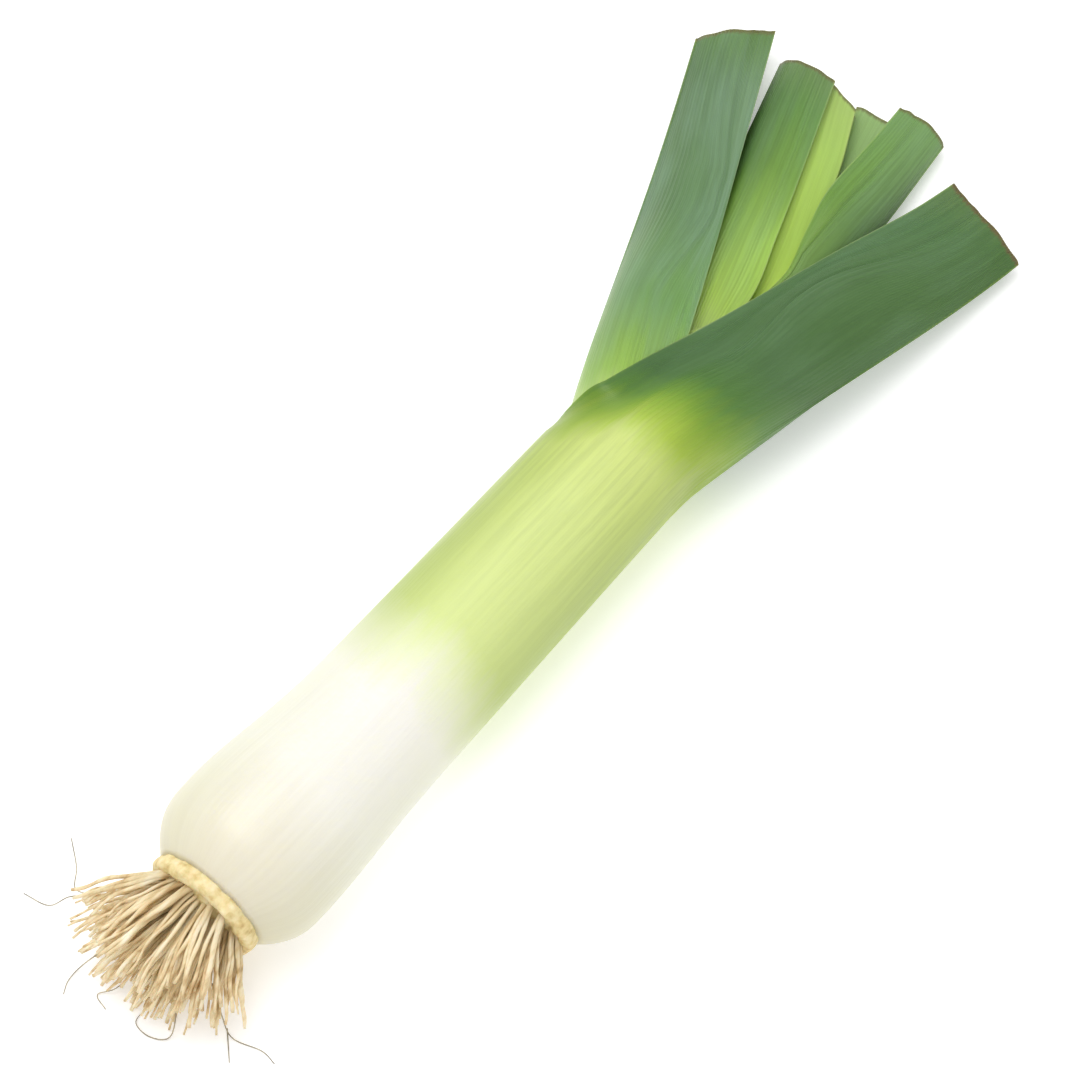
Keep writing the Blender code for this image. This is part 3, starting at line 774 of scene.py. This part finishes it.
def lock_mesh(index):
    """A few roots that leave the plate side by side."""
    dice = np.random.RandomState(100 + index)
    share = np.linspace(0.0, 1.0, STRAND_POINTS)
    girth = STRAND_CROWN - STRAND_TAPER * share + STRAND_KNOT * np.sin(STRAND_KNOTS * share + index)
    points, faces, count = [], [], 0
    for _ in range(STRANDS_PER_LOCK):
        x, y, z = strand_path(index, dice)
        radii = STRAND_RADIUS * dice.uniform(THINNEST, THICKEST) * girth
        z = np.maximum(z, radii + FLOOR_GAP)
        made, sides = tube((x, y, z), radii, STRAND_SIDES)
        points.append(made)
        faces += [[i + count for i in face] for face in sides]
        count += len(made)
    return np.concatenate(points), faces


def dried_root():
    """Dried root: straw-coloured, matt and finely wrinkled along its length, with painted shade down in the
    brush.
    """
    made, tree, shader = finish("dried_root", Roughness=0.65, IOR=1.45, Subsurface_Weight=0.1,
                                Subsurface_Scale=0.001)
    spot = add(tree, "TexCoord").node.outputs["Object"]
    stretched = add(tree, "Mapping", {"Vector": spot, "Scale": (0.15, 1.0, 1.0)})
    tone = add(tree, "TexNoise", {"Vector": stretched, "Scale": 1.0 / (ROOT_BLOTCH * MM), "Detail": 3.0})
    straw_tints = ((0.3, "c2a272"), (0.72, "fdf2d6"), (0.42, "e3cb9c"), (0.55, "f6e4bc"))
    tint = add(tree, "ValToRGB", {"Fac": tone}, straw_tints)
    station = add(tree, "SeparateXYZ", {"Vector": spot})
    # Painted shade: the straw tint darkens towards the plate, down in the brush where the roots shade one
    # another.
    brush = {"From Min": (BASE_X - 12.0) * MM, "From Max": (BASE_X - 3.0) * MM, "To Min": 0.0, "To Max": 0.35}
    near = add(tree, "MapRange", {"Value": station, **brush})
    tint = add(tree, "Mix", {0: near, 6: tint, 7: linear("9a8250")}, data_type="RGBA").node.outputs[2]
    wrinkle = add(tree, "TexNoise", {"Vector": stretched, "Scale": 1.0 / (ROOT_WRINKLE * MM), "Detail": 3.0})
    dent = add(tree, "Bump", {"Height": wrinkle, "Strength": 0.5, "Distance": 0.2 * MM})
    tree.links.new(tint, shader.inputs["Base Color"])
    tree.links.new(dent, shader.inputs["Normal"])
    return made


straw = dried_root()
for index, name in enumerate(ROOT_NAMES):
    lock = piece(name + "_lock", *lock_mesh(index), [straw])
    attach(lock, "root")
    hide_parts(name)

# ---- Root hairs -------------------------------------------------------------------------------------
# A few of the finest roots have come loose from the brush and dried to grey-brown hairs that lie on the
# table round it. They still hang from the brush by one end.

HAIR_RADIUS = 0.17
HAIR_POINTS = 24
HAIR_SIDES = 6
HAIR_FOOT = 1.15
HAIR_TAPER = 0.5
HAIR_BLEACH = 1.0 / 0.35

# Each hair's route as a few points: (forward of the sheath's foot, left, up) in millimetres.
HAIR_ROUTES = (
    ((-10.0, 20.0, 9.0), (-12.5, 29.0, 5.0), (-13.0, 34.5, 2.0), (-8.5, 38.5, 0.8), (-3.5, 45.0, 0.5)),
    ((-12.5, 28.0, 6.0), (-15.5, 34.0, 2.0), (-20.0, 37.0, 0.5), (-21.5, 44.0, 0.4)),
    ((-19.0, 16.0, 6.0), (-26.0, 19.5, 1.5), (-31.0, 20.0, 0.4), (-34.5, 18.5, 0.4)),
    ((-12.0, -10.0, 8.0), (-15.0, -15.0, 2.0), (-17.5, -20.5, 0.6), (-15.5, -28.0, 0.4), (-16.0, -32.5, 0.4)),
    ((-16.5, -18.0, 0.8), (-19.5, -21.0, 0.4), (-22.5, -24.0, 0.4)),
    ((-20.0, -6.0, 5.0), (-26.5, -9.0, 1.2), (-29.5, -5.0, 0.4), (-29.0, 0.0, 0.4), (-25.0, 0.5, 1.0)),
    ((-17.0, 6.0, 8.0), (-25.5, 9.0, 2.0), (-29.5, 12.0, 0.5), (-31.0, 8.0, 0.4)),
)


def hair_mesh(route):
    """One hair: a thin tube along a smooth curve through its route."""
    route = np.array(route)
    share = np.linspace(0.0, 1.0, len(route))
    along = np.linspace(0.0, 1.0, HAIR_POINTS)
    x, y, z = (through(tuple(zip(share, route[:, axis])), along) for axis in range(3))
    z = np.maximum(z, HAIR_RADIUS + FLOOR_GAP)
    return tube((BASE_X + x, y, z), HAIR_RADIUS * (HAIR_FOOT - HAIR_TAPER * along), HAIR_SIDES)


def dried_hair():
    """Shrivelled root hair: grey-brown and dull, paler where it has bleached."""
    made, tree, shader = finish("dried_root_hair", Roughness=0.7, IOR=1.45)
    spot = add(tree, "TexCoord").node.outputs["Object"]
    tone = add(tree, "TexNoise", {"Vector": spot, "Scale": 1.0 / (HAIR_BLEACH * MM), "Detail": 2.0})
    tint = add(tree, "ValToRGB", {"Fac": tone}, ((0.35, "8f8674"), (0.65, "c9bfa6")))
    tree.links.new(tint, shader.inputs["Base Color"])
    return made


grey_hair = dried_hair()
for index, route in enumerate(HAIR_ROUTES):
    hair = piece(f"root_hair_{index + 1}", *hair_mesh(route), [grey_hair])
    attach(hair, "root")

# ---- Floor, light and camera ------------------------------------------------------------------------
# A plain white table under one large soft lamp and an even white sky, seen from above at the root end's
# right-hand side.

FLOOR_SIZE = 6000.0
FLOOR_GLOW = 0.3
SKY_LIGHT = 0.72
WHITE = linear("ffffff")
CAMERA_AZIMUTH = -51.24
CAMERA_ELEVATION = 60.0
CAMERA_DISTANCE = 756.6
CAMERA_LENS = 100.0
CAMERA_SENSOR = 36.0
AIM_STATION, AIM_LEFT, AIM_HEIGHT = 125.3, 0.4, 21.7
LAMP_LEFT = 200.0
LAMP_BEYOND = 60.0
LAMP_HEIGHT = 900.0
LAMP_SIZE = 700.0
LAMP_POWER = 4.5


def white_tabletop():
    """White painted board: matt, and lit a little from within so that it stays white round the shadow."""
    return finish("white_tabletop", Roughness=0.8, Base_Color=linear("f8f8f8"), Emission_Color=WHITE,
                  Emission_Strength=FLOOR_GLOW)[0]


half = FLOOR_SIZE / 2.0
corners = [(-half, -half, 0.0), (half, -half, 0.0), (half, half, 0.0), (-half, half, 0.0)]
floor = piece("tabletop", corners, [(0, 1, 2, 3)], [white_tabletop()])

world = bpy.data.worlds.new("studio")
world.use_nodes = True
sky = world.node_tree.nodes["Background"]
sky.inputs["Color"].default_value = WHITE
sky.inputs["Strength"].default_value = SKY_LIGHT
bpy.context.scene.world = world

azimuth, elevation = math.radians(CAMERA_AZIMUTH), math.radians(CAMERA_ELEVATION)
right = np.array([math.cos(azimuth), math.sin(azimuth), 0.0])
beyond = np.array([-math.sin(azimuth), math.cos(azimuth), 0.0])
up = np.array([0.0, 0.0, 1.0])
back = math.sin(elevation) * up - math.cos(elevation) * beyond
aim = np.array([BASE_X + AIM_STATION, AIM_LEFT, AIM_HEIGHT])


def soft_lamp(name, place, size, power):
    """A square soft lamp that faces the leek."""
    lamp = bpy.data.lights.new(name, "AREA")
    lamp.size = size * MM
    lamp.energy = power
    made = bpy.data.objects.new(name, lamp)
    made.location = (np.array(place) * MM).tolist()
    heading = Vector(((aim - np.array(place)) * MM).tolist())
    made.rotation_euler = heading.to_track_quat("-Z", "Y").to_euler()
    bpy.context.scene.collection.objects.link(made)


lamp_place = aim - LAMP_LEFT * right + LAMP_BEYOND * beyond + LAMP_HEIGHT * up
soft_lamp("key_lamp", lamp_place, LAMP_SIZE, LAMP_POWER)

camera = bpy.data.cameras.new("camera")
camera.lens = CAMERA_LENS
camera.sensor_width = CAMERA_SENSOR
camera_object = bpy.data.objects.new("camera", camera)
camera_object.location = ((aim + back * CAMERA_DISTANCE) * MM).tolist()
camera_object.rotation_euler = Vector((-back).tolist()).to_track_quat("-Z", "Y").to_euler()
bpy.context.scene.collection.objects.link(camera_object)
bpy.context.scene.camera = camera_object
bpy.context.scene.view_settings.view_transform = "Standard"
